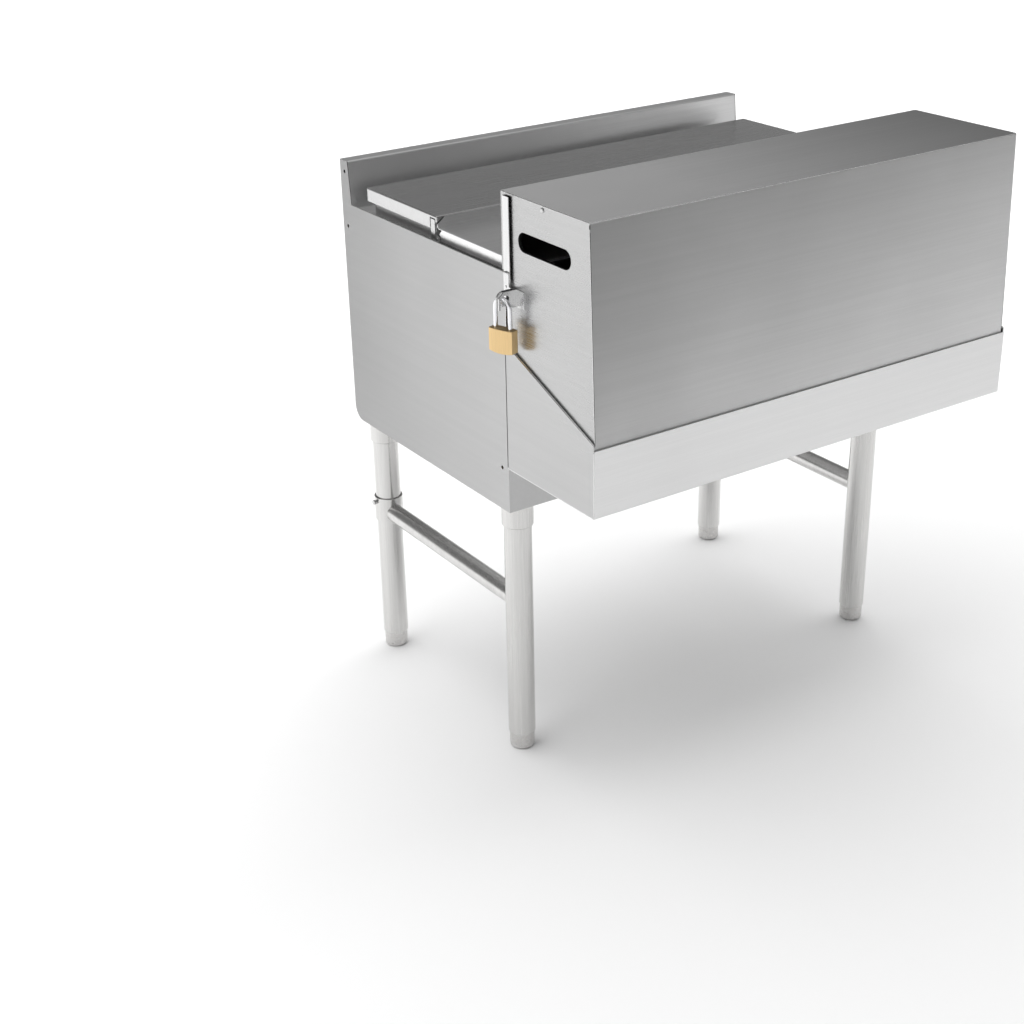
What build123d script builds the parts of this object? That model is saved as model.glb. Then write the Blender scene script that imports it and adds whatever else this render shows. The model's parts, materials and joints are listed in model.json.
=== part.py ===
"""Underbar ice bin with a bottle rail and a lift-off, padlocked rail cover.

Millimetres, +Z up, +X to the right seen from the front, +Y to the back. The origin
is on the floor, at the middle of the width and of the overall depth.
"""
import os
from math import cos, radians, sin

from build123d import *

os.makedirs("parts", exist_ok=True)

# ---------------------------------------------------------------- driving dimensions
SHEET = 1.2          # stainless sheet
BEND = 2.5           # outer radius of a fold
WIDTH = 762.0        # cabinet, 30 in
BIN_DEPTH = 450.0    # cabinet, front to back
RAIL_DEPTH = 205.0   # bottle rail, in front of the cabinet
BASE_Z = 418.5       # underside of the cabinet
RIM_Z = 774.0        # top edge of the side panels
SPLASH_Z = 840.0     # top of the backsplash
COVER_Z = 884.0      # top of the rail cover
FLOOR_GAP = 0.3      # rest clearance between pieces that separate

HALF_W = WIDTH / 2
INNER_W = HALF_W - SHEET
FRONT_Y = RAIL_DEPTH - (BIN_DEPTH + RAIL_DEPTH) / 2
BACK_Y = FRONT_Y + BIN_DEPTH

# backsplash and side panel outline
CORNER_R = 22.0
BACK_SEAM_Z = BASE_Z + CORNER_R + 2.0
SPLASH_TOP_Y = BACK_Y - 22.2
SPLASH_FOOT_Y = BACK_Y - 28.5
HEM = 12.0
JOIN_HOLE_R = 2.75
JOIN_HOLES = [(FRONT_Y + 16.7, 484.0), (BACK_Y - 14.0, 738.6), (BACK_Y - 13.0, 823.0)]

# ice liner and deck
DECK_Z = 768.0
LINER_X = 364.0
LINER_FRONT = FRONT_Y + 26.0
LINER_BACK = FRONT_Y + 386.0
LINER_TOP = 784.0
LINER_BOTTOM = 474.0
LINER_R = 12.0       # upright corners
LINER_FLOOR_R = 11.0
LINER_MID = (LINER_FRONT + LINER_BACK) / 2
LINER_DEPTH = LINER_BACK - LINER_FRONT

# drain, on the liner's centre
DRAIN_HOLE_R = 22.0
PIPE_R = 16.7         # outlet, where a hose or trap slides on
PIPE_BORE_R = 14.0
PIPE_END_Z = 380.0
OUTLET_TOP_Z = 414.0
TAILPIECE_TOP_Z = 472.0

# legs
LEG_X = 346.5
LEG_FRONT = FRONT_Y + 33.0
LEG_BACK = FRONT_Y + 421.0
LEG_SPOTS = {
    "front_left": (-LEG_X, LEG_FRONT),
    "front_right": (LEG_X, LEG_FRONT),
    "rear_left": (-LEG_X, LEG_BACK),
    "rear_right": (LEG_X, LEG_BACK),
}
LEG_R = 20.65
LEG_WALL = 1.6
LEG_BOTTOM = 27.5
SOCKET_R = 23.6
SOCKET_Z = 380.0
PAD = 60.0
PAD_T = 3.0
PAD_REACH = 5.0      # how far a pad reaches beyond its leg's axis, towards the outside
PAD_SPOTS = {
    "front_left": (-LEG_X, LEG_FRONT + PAD / 2 - PAD_REACH),
    "front_right": (LEG_X, LEG_FRONT + PAD / 2 - PAD_REACH),
    "rear_left": (-LEG_X, LEG_BACK - PAD / 2 + PAD_REACH),
    "rear_right": (LEG_X, LEG_BACK - PAD / 2 + PAD_REACH),
}
FOOT_R = 19.0
STEM_R = 7.9
STEM_HOLE_R = 8.0
RAIL_TUBE_R = 15.0
RAIL_TUBE_Z = 254.0
COLLAR_R = 23.3
COLLAR_LOW = 240.0
COLLAR_HIGH = 281.0

# bottle rail
TRAY_X = 382.5
TRAY_Z = 488.0
LIP_Z = 585.0
TRAY_BACK_Z = 640.0
END_BACK_Z = 672.5
END_FRONT_Z = 591.5
LIP_Y = FRONT_Y - RAIL_DEPTH

# rail cover
COVER_X = 378.6
COVER_FRONT = FRONT_Y - 191.3
COVER_FOOT = FRONT_Y - 202.0    # close behind the rail's lip
COVER_BACK = FRONT_Y + 8.8
COVER_LOW = 490.0
COVER_KNEE_Z = 592.0            # the front stands upright behind the lip, and leans back from here up
HAND_Y = FRONT_Y - 91.0
HAND_Z = 824.5
HAND_L = 119.0
HAND_H = 27.0

# guide channels, one at each end of the cover
GUIDE_TOP = 879.0
GUIDE_LOW = 762.0
GUIDE_FOOT = 690.0
GUIDE_OUT = 382.4
GUIDE_IN = 372.0
GUIDE_DEPTH = 15.0

# padlock and its two tabs
LOCK_X = -398.0
LOCK_Y = FRONT_Y - 20.0
LOCK_TOP = 746.0     # centre of the shackle wire at its crown
LOCK_TURN = radians(18)
WIRE_R = 3.1
CROWN_R = 12.3
TAB = 2.0
EYE_Y = LOCK_Y - 6.0
TAB_REACH = 408.0

# lids and the bar between them
LID_X = 370.0
REAR_LID_FRONT = FRONT_Y + 190.0
REAR_LID_BACK = FRONT_Y + 391.0
REAR_LID_TOP = 806.0
REAR_LID_LOW = 786.0
REAR_SKIRT_FRONT = FRONT_Y + 207.0
FRONT_LIP_LOW = 797.0
PAN_LOW = 784.4
FRONT_LID_X = 369.5
FRONT_LID_FRONT = FRONT_Y + 20.0
FRONT_LID_BACK = FRONT_Y + 188.2
FRONT_LID_TOP = 791.0
FRONT_LID_LOW = 772.0
UPSTAND_Z = 805.2
BAR_FRONT = FRONT_Y + 193.0
BAR_BACK = FRONT_Y + 207.0
BAR_TOP = 804.4
STUD_Y = FRONT_Y + 187.0
STUD_Z = 774.6
STUD_R = 3.2


# ---------------------------------------------------------------- helpers
def save(piece, name):
    """Label a finished piece and write it as its own STEP file."""
    piece.part.label = name
    export_step(piece.part, f"parts/{name}.step")


def mirrored(piece):
    """The same piece for the other end of the unit."""
    with BuildPart() as twin:
        mirror(piece.part, about=Plane.YZ)
    return twin


def folded(points, radius=BEND, side=Side.LEFT):
    """Section of a folded sheet, its outer face along the points."""
    with BuildSketch() as section:
        with BuildLine():
            FilletPolyline(*points, radius=radius)
            offset(amount=SHEET, side=side)
        make_face()
    return section.sketch


def across(plane_x=0.0):
    """Plane with local x along +Y and local y along +Z, at a given X."""
    return Plane.YZ.offset(plane_x)


# ---------------------------------------------------------------- cabinet
with BuildPart() as side_panel_left:
    with BuildSketch(across(-HALF_W)):
        with BuildLine():
            Polyline(
                (BACK_Y, BASE_Z + CORNER_R),
                (BACK_Y, SPLASH_Z),
                (SPLASH_TOP_Y, SPLASH_Z),
                (SPLASH_FOOT_Y, RIM_Z),
                (FRONT_Y, RIM_Z),
                (FRONT_Y, BASE_Z),
                (BACK_Y - CORNER_R, BASE_Z),
            )
            JernArc((BACK_Y - CORNER_R, BASE_Z), (1, 0), CORNER_R, 90)
        make_face()
        with Locations(*JOIN_HOLES):
            Circle(JOIN_HOLE_R, mode=Mode.SUBTRACT)
    extrude(amount=SHEET)
    # closed hem along the top edge
    with BuildSketch(across(-INNER_W)):
        with Locations((FRONT_Y, RIM_Z)):
            Rectangle(SPLASH_FOOT_Y - FRONT_Y - 1.0, HEM, align=(Align.MIN, Align.MAX))
    extrude(amount=SHEET)
save(side_panel_left, "side_panel_left")
save(mirrored(side_panel_left), "side_panel_right")

with BuildPart() as front_panel:
    with BuildSketch(Plane.XZ.offset(-FRONT_Y)):
        with Locations((0, BASE_Z)):
            Rectangle(2 * INNER_W, RIM_Z - HEM - BASE_Z, align=(Align.CENTER, Align.MIN))
        with Locations((0, RIM_Z)):
            Rectangle(2 * (INNER_W - SHEET), HEM, align=(Align.CENTER, Align.MAX))
    extrude(amount=-SHEET)
save(front_panel, "front_panel")

with BuildPart() as bottom_pan:
    with BuildSketch(across()):
        add(
            folded(
                [
                    (FRONT_Y + SHEET, BASE_Z + 20),
                    (FRONT_Y + SHEET, BASE_Z),
                    (BACK_Y, BASE_Z),
                    (BACK_Y, BACK_SEAM_Z),
                ],
                radius=[BEND, CORNER_R],
            )
        )
    extrude(amount=INNER_W, both=True)
    with BuildSketch(Plane.XY.offset(BASE_Z)):
        with Locations((0, LINER_MID)):
            Circle(PIPE_R + 2)
        with Locations(*LEG_SPOTS.values()):
            Circle(SOCKET_R + 0.1)
    extrude(amount=CORNER_R, mode=Mode.SUBTRACT)
save(bottom_pan, "bottom_pan")

with BuildPart() as back_panel:
    with BuildSketch(Plane.XZ.offset(-BACK_Y)):
        with Locations((0, BACK_SEAM_Z)):
            Rectangle(2 * INNER_W, SPLASH_Z - BACK_SEAM_Z, align=(Align.CENTER, Align.MIN))
    extrude(amount=SHEET)
save(back_panel, "back_panel")

with BuildPart() as backsplash:
    with BuildSketch(across()):
        add(
            folded(
                [
                    (BACK_Y - SHEET, SPLASH_Z),
                    (SPLASH_TOP_Y, SPLASH_Z),
                    (SPLASH_FOOT_Y, DECK_Z),
                ]
            )
        )
    extrude(amount=INNER_W, both=True)
save(backsplash, "backsplash")

with BuildPart() as liner:
    with BuildSketch(Plane.XY.offset(LINER_BOTTOM)):
        with Locations((0, LINER_MID)):
            RectangleRounded(2 * LINER_X, LINER_DEPTH, LINER_R)
    extrude(amount=LINER_TOP - LINER_BOTTOM)
    fillet(liner.faces().sort_by(Axis.Z)[0].edges(), radius=LINER_FLOOR_R)
    offset(amount=-SHEET, openings=liner.faces().sort_by(Axis.Z)[-1])
    with BuildSketch(Plane.XY.offset(LINER_BOTTOM)):
        with Locations((0, LINER_MID)):
            Circle(DRAIN_HOLE_R)
    extrude(amount=SHEET, mode=Mode.SUBTRACT)

# the wall wrap and the coved floor meet in a ground weld
LINER_SEAM = Plane.XY.offset(LINER_BOTTOM + LINER_FLOOR_R)
for name, side in (("ice_liner", Keep.TOP), ("liner_floor", Keep.BOTTOM)):
    with BuildPart() as half:
        add(liner.part)
        split(bisect_by=LINER_SEAM, keep=side)
    save(half, name)

with BuildPart() as deck_frame:
    with BuildSketch(Plane.XY.offset(DECK_Z)):
        with Locations((0, FRONT_Y + SHEET)):
            Rectangle(
                2 * (INNER_W - SHEET),
                SPLASH_FOOT_Y - FRONT_Y - SHEET,
                align=(Align.CENTER, Align.MIN),
            )
        with Locations((0, LINER_MID)):
            RectangleRounded(
                2 * LINER_X + 0.1, LINER_DEPTH + 0.1, LINER_R, mode=Mode.SUBTRACT
            )
    extrude(amount=-SHEET)
save(deck_frame, "deck_frame")

# foam between the liner and the panels
FOAM_LOW = BASE_Z + SHEET + 0.1
FOAM_TOP = RIM_Z - HEM - 0.5
DRAIN_POCKET_R = 42.0
with BuildPart() as insulation:
    with BuildSketch(across()):
        with BuildLine():
            FilletPolyline(
                (FRONT_Y + 2 * SHEET + 0.1, FOAM_LOW),
                (BACK_Y - SHEET - 0.1, FOAM_LOW),
                (BACK_Y - SHEET - 0.1, FOAM_TOP),
                (FRONT_Y + 2 * SHEET + 0.1, FOAM_TOP),
                radius=CORNER_R,
                close=True,
            )
        make_face()
    extrude(amount=INNER_W - 0.2, both=True)
    with BuildSketch(Plane.XY.offset(LINER_BOTTOM - 0.2)):
        with Locations((0, LINER_MID)):
            RectangleRounded(2 * LINER_X + 0.4, LINER_DEPTH + 0.4, LINER_R)
    extrude(amount=FOAM_TOP - LINER_BOTTOM + 1, mode=Mode.SUBTRACT)
    with BuildSketch(Plane.XY.offset(FOAM_LOW)):
        with Locations((0, LINER_MID)):
            Circle(DRAIN_POCKET_R)
    extrude(amount=LINER_BOTTOM - FOAM_LOW, mode=Mode.SUBTRACT)
    with BuildSketch(Plane.XY.offset(FOAM_LOW)):
        with Locations(*PAD_SPOTS.values()):
            Rectangle(PAD + 2, PAD + 2)
    extrude(amount=PAD_T + 1, mode=Mode.SUBTRACT)
    with BuildSketch(across(-INNER_W)):
        with Locations(*JOIN_HOLES[:2]):
            Circle(8.0)
    extrude(amount=2 * INNER_W, mode=Mode.SUBTRACT)
save(insulation, "insulation")

# ---------------------------------------------------------------- drain
DRAIN_PLANE = Plane((0, LINER_MID, 0), x_dir=(1, 0, 0), z_dir=(0, -1, 0))
FLOOR_Z = LINER_BOTTOM + SHEET
NECK_R = 21.0
NECK_LOW = 438.0
with BuildPart() as drain_flange:
    with BuildSketch(DRAIN_PLANE):
        with BuildLine():
            Polyline(
                (PIPE_R + 0.3, NECK_LOW),
                (NECK_R, NECK_LOW),
                (NECK_R, FLOOR_Z),
                (36.0, FLOOR_Z),
                (34.0, FLOOR_Z + 2.0),
                (PIPE_R + 0.3, FLOOR_Z + 2.0),
                close=True,
            )
        make_face()
    revolve(axis=Axis((0, LINER_MID, 0), (0, 0, 1)))
save(drain_flange, "drain_flange")


def ring(low, height, outer, inner):
    """Flat ring on the drain's axis."""
    with BuildPart() as washer:
        with BuildSketch(Plane.XY.offset(low)):
            with Locations((0, LINER_MID)):
                Circle(outer)
                Circle(inner, mode=Mode.SUBTRACT)
        extrude(amount=height)
    return washer


save(ring(LINER_BOTTOM - 3.0, 3.0, 32.0, NECK_R + 0.1), "drain_gasket")
with BuildPart() as drain_tailpiece:
    add(ring(PIPE_END_Z, OUTLET_TOP_Z - PIPE_END_Z, PIPE_R, PIPE_BORE_R).part)
    add(ring(OUTLET_TOP_Z, TAILPIECE_TOP_Z - OUTLET_TOP_Z, PIPE_R - 0.3, PIPE_BORE_R).part)
save(drain_tailpiece, "drain_tailpiece")
with BuildPart() as drain_locknut:
    with BuildSketch(Plane.XY.offset(LINER_BOTTOM - 15.0)):
        with Locations((0, LINER_MID)):
            RegularPolygon(30.0, 6, major_radius=False)
            Circle(NECK_R + 0.05, mode=Mode.SUBTRACT)
    extrude(amount=12.0)
    flats = drain_locknut.edges().filter_by(GeomType.LINE)
    chamfer(flats.filter_by(Axis.Z, reverse=True), 0.8)
save(drain_locknut, "drain_locknut")
with BuildPart() as drain_strainer:
    with BuildSketch(Plane.XY.offset(FLOOR_Z + 2.0)):
        with Locations((0, LINER_MID)):
            Circle(28.0)
            for count, radius in ((6, 8.0), (12, 16.0)):
                with PolarLocations(radius, count):
                    Circle(2.4, mode=Mode.SUBTRACT)
    extrude(amount=SHEET)
save(drain_strainer, "drain_strainer")

# ---------------------------------------------------------------- legs and feet
def cylinder(spot, low, high, outer, inner=0.0):
    """Upright round bar or tube at a leg's spot."""
    with BuildPart() as bar:
        with BuildSketch(Plane.XY.offset(low)):
            with Locations(spot):
                Circle(outer)
                if inner:
                    Circle(inner, mode=Mode.SUBTRACT)
        extrude(amount=high - low)
    return bar


INSERT_TOP = LEG_BOTTOM + 18.0
STEM_TOP = INSERT_TOP + 26.0
SCREW_Z = SOCKET_Z + 12.0
for corner, spot in LEG_SPOTS.items():
    with BuildPart() as socket:
        add(cylinder(spot, SOCKET_Z, BASE_Z + SHEET, SOCKET_R, LEG_R + 0.15).part)
        chamfer(socket.edges().filter_by(GeomType.CIRCLE).sort_by(Axis.Z)[0:1], 1.2)
        with BuildSketch(Plane.XY.offset(BASE_Z + SHEET)):
            with Locations(PAD_SPOTS[corner]):
                RectangleRounded(PAD, PAD, 6)
        extrude(amount=PAD_T)
        # screw hole through the socket's inner wall
        inward = -1 if spot[0] > 0 else 1
        with BuildSketch(Plane.YZ.offset(spot[0])):
            with Locations((spot[1], SCREW_Z)):
                Circle(3.0)
        extrude(amount=inward * 30, mode=Mode.SUBTRACT)
    save(socket, f"leg_socket_{corner}")

    tube = cylinder(spot, LEG_BOTTOM, BASE_Z, LEG_R, LEG_R - LEG_WALL)
    save(tube, f"leg_{corner}")

    with BuildPart() as foot:
        add(cylinder(spot, 0, LEG_BOTTOM - FLOOR_GAP, FOOT_R).part)
        fillet(foot.edges().group_by(Axis.Z)[0], 4.0)
        fillet(foot.edges().group_by(Axis.Z)[-1], 1.0)
        add(cylinder(spot, LEG_BOTTOM - 1.0, STEM_TOP, STEM_R).part)
        chamfer(foot.edges().group_by(Axis.Z)[-1], 1.0)
    save(foot, f"foot_{corner}")

with BuildPart() as foot_inserts:
    for spot in LEG_SPOTS.values():
        add(cylinder(spot, LEG_BOTTOM, INSERT_TOP, LEG_R - LEG_WALL, STEM_HOLE_R).part)
save(foot_inserts, "foot_inserts")

with BuildPart() as socket_screws:
    for spot in LEG_SPOTS.values():
        inward = -1 if spot[0] > 0 else 1
        with BuildSketch(Plane.YZ.offset(spot[0] + inward * LEG_R)):
            with Locations((spot[1], SCREW_Z)):
                Circle(2.9)
        extrude(amount=inward * (SOCKET_R - LEG_R + 3.0))
save(socket_screws, "socket_screws")

with BuildPart() as cross_rail_left:
    with BuildSketch(Plane.XZ.offset(-LEG_FRONT)):
        with Locations((-LEG_X, RAIL_TUBE_Z)):
            Circle(RAIL_TUBE_R)
            Circle(RAIL_TUBE_R - 1.5, mode=Mode.SUBTRACT)
    extrude(amount=LEG_FRONT - LEG_BACK)
    # saddle ends that follow the front leg and the rear collar
    for spot, radius in ((LEG_SPOTS["front_left"], LEG_R), (LEG_SPOTS["rear_left"], COLLAR_R)):
        add(cylinder(spot, RAIL_TUBE_Z - 30, RAIL_TUBE_Z + 30, radius + 0.05).part, mode=Mode.SUBTRACT)
save(cross_rail_left, "cross_rail_left")
save(mirrored(cross_rail_left), "cross_rail_right")

with BuildPart() as rail_collar_left:
    add(cylinder(LEG_SPOTS["rear_left"], COLLAR_LOW, COLLAR_HIGH, COLLAR_R, LEG_R + 0.1).part)
    chamfer(rail_collar_left.edges().filter_by(GeomType.CIRCLE).group_by(Axis.Z)[-1], 0.6)
    with BuildSketch(Plane.YZ.offset(-LEG_X)):
        with Locations((LEG_BACK, COLLAR_HIGH - 8)):
            Circle(3.0)
    extrude(amount=-30, mode=Mode.SUBTRACT)
save(rail_collar_left, "rail_collar_left")
save(mirrored(rail_collar_left), "rail_collar_right")

with BuildPart() as collar_screws:
    with BuildSketch(Plane.YZ.offset(-LEG_X - LEG_R)):
        with Locations((LEG_BACK, COLLAR_HIGH - 8)):
            Circle(2.9)
    extrude(amount=-(COLLAR_R - LEG_R + 2.5))
    with BuildSketch(Plane.YZ.offset(-LEG_X - COLLAR_R - 2.5)):
        with Locations((LEG_BACK, COLLAR_HIGH - 8)):
            Circle(4.0)
    extrude(amount=-3.0)
    mirror(about=Plane.YZ)
save(collar_screws, "collar_screws")

# ---------------------------------------------------------------- bottle rail
with BuildPart() as rail_tray:
    with BuildSketch(across()):
        add(
            folded(
                [
                    (FRONT_Y, TRAY_BACK_Z),
                    (FRONT_Y, TRAY_Z),
                    (LIP_Y, TRAY_Z),
                    (LIP_Y, LIP_Z),
                ],
                side=Side.RIGHT,
            )
        )
    extrude(amount=TRAY_X, both=True)
    # closed hem along the top of the lip
    with BuildSketch(across()):
        with Locations((LIP_Y + SHEET, LIP_Z)):
            Rectangle(SHEET, HEM, align=(Align.MIN, Align.MAX))
    extrude(amount=TRAY_X - 2 * SHEET, both=True)
    with BuildSketch(Plane.XZ.offset(-FRONT_Y)):
        with GridLocations(240, 1, 3, 1):
            with Locations((0, TRAY_BACK_Z - 15)):
                Circle(3.0)
    extrude(amount=SHEET, mode=Mode.SUBTRACT)
save(rail_tray, "rail_tray")

with BuildPart() as rail_end_left:
    with BuildSketch(across(-TRAY_X)):
        with BuildLine():
            Polyline(
                (FRONT_Y - SHEET, TRAY_Z + SHEET),
                (FRONT_Y - SHEET, END_BACK_Z),
                (LIP_Y + SHEET, END_FRONT_Z),
                (LIP_Y + SHEET, TRAY_Z + SHEET),
                close=True,
            )
        make_face()
    extrude(amount=SHEET)
    fillet(rail_end_left.edges().filter_by(Axis.X).group_by(Axis.Z)[0], BEND - SHEET + 0.1)
save(rail_end_left, "rail_end_left")
save(mirrored(rail_end_left), "rail_end_right")

with BuildPart() as rail_screws:
    with BuildSketch(Plane.XZ.offset(-FRONT_Y + SHEET)):
        with GridLocations(240, 1, 3, 1):
            with Locations((0, TRAY_BACK_Z - 15)):
                Circle(6.0)
    extrude(amount=3.2)
    fillet(rail_screws.edges().group_by(Axis.Y)[0], 2.0)
    with BuildSketch(Plane.XZ.offset(-FRONT_Y)):
        with GridLocations(240, 1, 3, 1):
            with Locations((0, TRAY_BACK_Z - 15)):
                Circle(2.95)
    extrude(amount=SHEET)
save(rail_screws, "rail_screws")

# ---------------------------------------------------------------- rail cover
with BuildPart() as cover_shell:
    with BuildSketch(across()):
        add(
            folded(
                [
                    (COVER_FOOT, COVER_LOW),
                    (COVER_FOOT, COVER_KNEE_Z),
                    (COVER_FRONT, COVER_Z),
                    (COVER_BACK, COVER_Z),
                    (COVER_BACK, RIM_Z + 2.0),
                ],
                side=Side.RIGHT,
            )
        )
    extrude(amount=COVER_X, both=True)
save(cover_shell, "cover_shell")

SLOT_FRONT = FRONT_Y - 2.4
SLOT_BACK = FRONT_Y + 1.0
END_FRONT = COVER_FRONT + SHEET + 0.05
END_FOOT = COVER_FOOT + SHEET + 0.05
FLANGE_TOP = COVER_Z - 14.0
FLANGE_TOP_Y = END_FRONT + (END_FOOT - END_FRONT) * 14.0 / (COVER_Z - COVER_KNEE_Z)
COVER_SCREW = (FRONT_Y - 88.0, 877.0)
with BuildPart() as cover_end_left:
    with BuildSketch(across(-COVER_X)):
        with BuildLine():
            Polyline(
                (END_FOOT, COVER_LOW),
                (END_FOOT, COVER_KNEE_Z),
                (END_FRONT, COVER_Z - SHEET),
                (COVER_BACK - SHEET, COVER_Z - SHEET),
                (COVER_BACK - SHEET, RIM_Z + 2.0),
                (SLOT_BACK, RIM_Z + 2.0),
                (SLOT_BACK, GUIDE_TOP + FLOOR_GAP),
                (SLOT_FRONT, GUIDE_TOP + FLOOR_GAP),
                (SLOT_FRONT, COVER_LOW),
                close=True,
            )
        make_face()
        with Locations((HAND_Y, HAND_Z)):
            SlotOverall(HAND_L, HAND_H, mode=Mode.SUBTRACT)
        with Locations(COVER_SCREW):
            Circle(2.1, mode=Mode.SUBTRACT)
    extrude(amount=SHEET)
    fillet(cover_end_left.edges().filter_by(Axis.X).group_by(Axis.Z)[-1], BEND - SHEET + 0.1)
    # rolled rim inside the hand hole
    with BuildSketch(across(-COVER_X + SHEET)):
        with Locations((HAND_Y, HAND_Z)):
            SlotOverall(HAND_L + 4, HAND_H + 4)
            SlotOverall(HAND_L, HAND_H, mode=Mode.SUBTRACT)
    extrude(amount=4.0)
    # flange behind the front sheet
    with BuildSketch(across(-COVER_X + SHEET)):
        with BuildLine():
            Polyline(
                (END_FOOT, COVER_LOW),
                (END_FOOT, COVER_KNEE_Z),
                (FLANGE_TOP_Y, FLANGE_TOP),
                (FLANGE_TOP_Y + SHEET, FLANGE_TOP),
                (END_FOOT + SHEET, COVER_KNEE_Z),
                (END_FOOT + SHEET, COVER_LOW),
                close=True,
            )
        make_face()
    extrude(amount=12.0)
save(cover_end_left, "cover_end_left")
save(mirrored(cover_end_left), "cover_end_right")

with BuildPart() as cover_screws:
    with BuildSketch(across(-COVER_X)):
        with Locations(COVER_SCREW):
            Circle(3.4)
    extrude(amount=-1.6)
    fillet(cover_screws.edges().group_by(Axis.X)[0], 1.2)
    with BuildSketch(across(-COVER_X)):
        with Locations(COVER_SCREW):
            Circle(2.05)
    extrude(amount=7.0)
    with BuildSketch(across(-COVER_X + SHEET)):
        with Locations(COVER_SCREW):
            RegularPolygon(3.6, 6)
    extrude(amount=3.0)
    mirror(about=Plane.YZ)
save(cover_screws, "cover_screws")

# ---------------------------------------------------------------- guide channels
GUIDE_LEG = 352.0
RIVET_SPOTS = [(-360.0, 705.0), (-360.0, 755.0)]
with BuildPart() as guide_channel_left:
    with BuildSketch(Plane.XZ.offset(-FRONT_Y)):
        with BuildLine():
            Polyline(
                (-GUIDE_OUT, GUIDE_TOP),
                (-GUIDE_OUT, GUIDE_LOW),
                (-HALF_W, GUIDE_LOW),
                (-HALF_W, GUIDE_FOOT),
                (-GUIDE_LEG, GUIDE_FOOT),
                (-GUIDE_LEG, RIM_Z - 6),
                (-GUIDE_IN, RIM_Z + 14),
                (-GUIDE_IN, GUIDE_TOP),
                close=True,
            )
        make_face()
        with Locations(*RIVET_SPOTS):
            Circle(2.0, mode=Mode.SUBTRACT)
    extrude(amount=SHEET)
    with BuildSketch(across(-GUIDE_OUT)):
        with Locations((FRONT_Y - SHEET, GUIDE_LOW)):
            Rectangle(
                GUIDE_DEPTH - SHEET, GUIDE_TOP - GUIDE_LOW, align=(Align.MAX, Align.MIN)
            )
    extrude(amount=SHEET)
    with BuildSketch(across(-GUIDE_IN)):
        with Locations((FRONT_Y - SHEET, GUIDE_FOOT)):
            Rectangle(
                GUIDE_DEPTH - 2 * SHEET, GUIDE_TOP - GUIDE_FOOT, align=(Align.MAX, Align.MIN)
            )
    extrude(amount=-SHEET)
    fillet(
        guide_channel_left.edges().filter_by(Axis.Z).filter_by_position(
            Axis.X, -GUIDE_OUT - 0.1, -GUIDE_OUT + 0.1
        ).sort_by(Axis.Y)[-1:],
        SHEET,
    )
save(guide_channel_left, "guide_channel_left")
save(mirrored(guide_channel_left), "guide_channel_right")

with BuildPart() as guide_rivets:
    with BuildSketch(Plane.XZ.offset(-FRONT_Y + SHEET)):
        with Locations(*RIVET_SPOTS):
            Circle(3.6)
    extrude(amount=1.4)
    fillet(guide_rivets.edges().group_by(Axis.Y)[0], 1.2)
    with BuildSketch(Plane.XZ.offset(-FRONT_Y)):
        with Locations(*RIVET_SPOTS):
            Circle(1.95)
    extrude(amount=SHEET)
    mirror(about=Plane.YZ)
save(guide_rivets, "guide_rivets")

# ---------------------------------------------------------------- padlock and tabs
LOCK_PLANE = Plane(
    origin=(LOCK_X, LOCK_Y, LOCK_TOP - CROWN_R),
    x_dir=(sin(LOCK_TURN), -cos(LOCK_TURN), 0),
    z_dir=(-cos(LOCK_TURN), -sin(LOCK_TURN), 0),
)
BODY_W = 40.0
BODY_T = 16.0
BODY_TOP = -28.7
BODY_LOW = -61.0
HEEL = 24.0
TOE = 8.5
PLUG_R = 6.5
PLUG_L = 20.0

with BuildPart() as padlock_shackle:
    with BuildLine(LOCK_PLANE) as wire_path:
        Line((-CROWN_R, BODY_TOP - TOE), (-CROWN_R, 0))
        CenterArc((0, 0), CROWN_R, 180, -180)
        Line((CROWN_R, 0), (CROWN_R, BODY_TOP - HEEL))
    with BuildSketch(Plane(wire_path.line @ 0, z_dir=wire_path.line % 0)):
        Circle(WIRE_R)
    sweep(path=wire_path.line)
    chamfer(padlock_shackle.faces().filter_by(GeomType.PLANE).edges(), 0.6)
save(padlock_shackle, "padlock_shackle")

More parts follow.
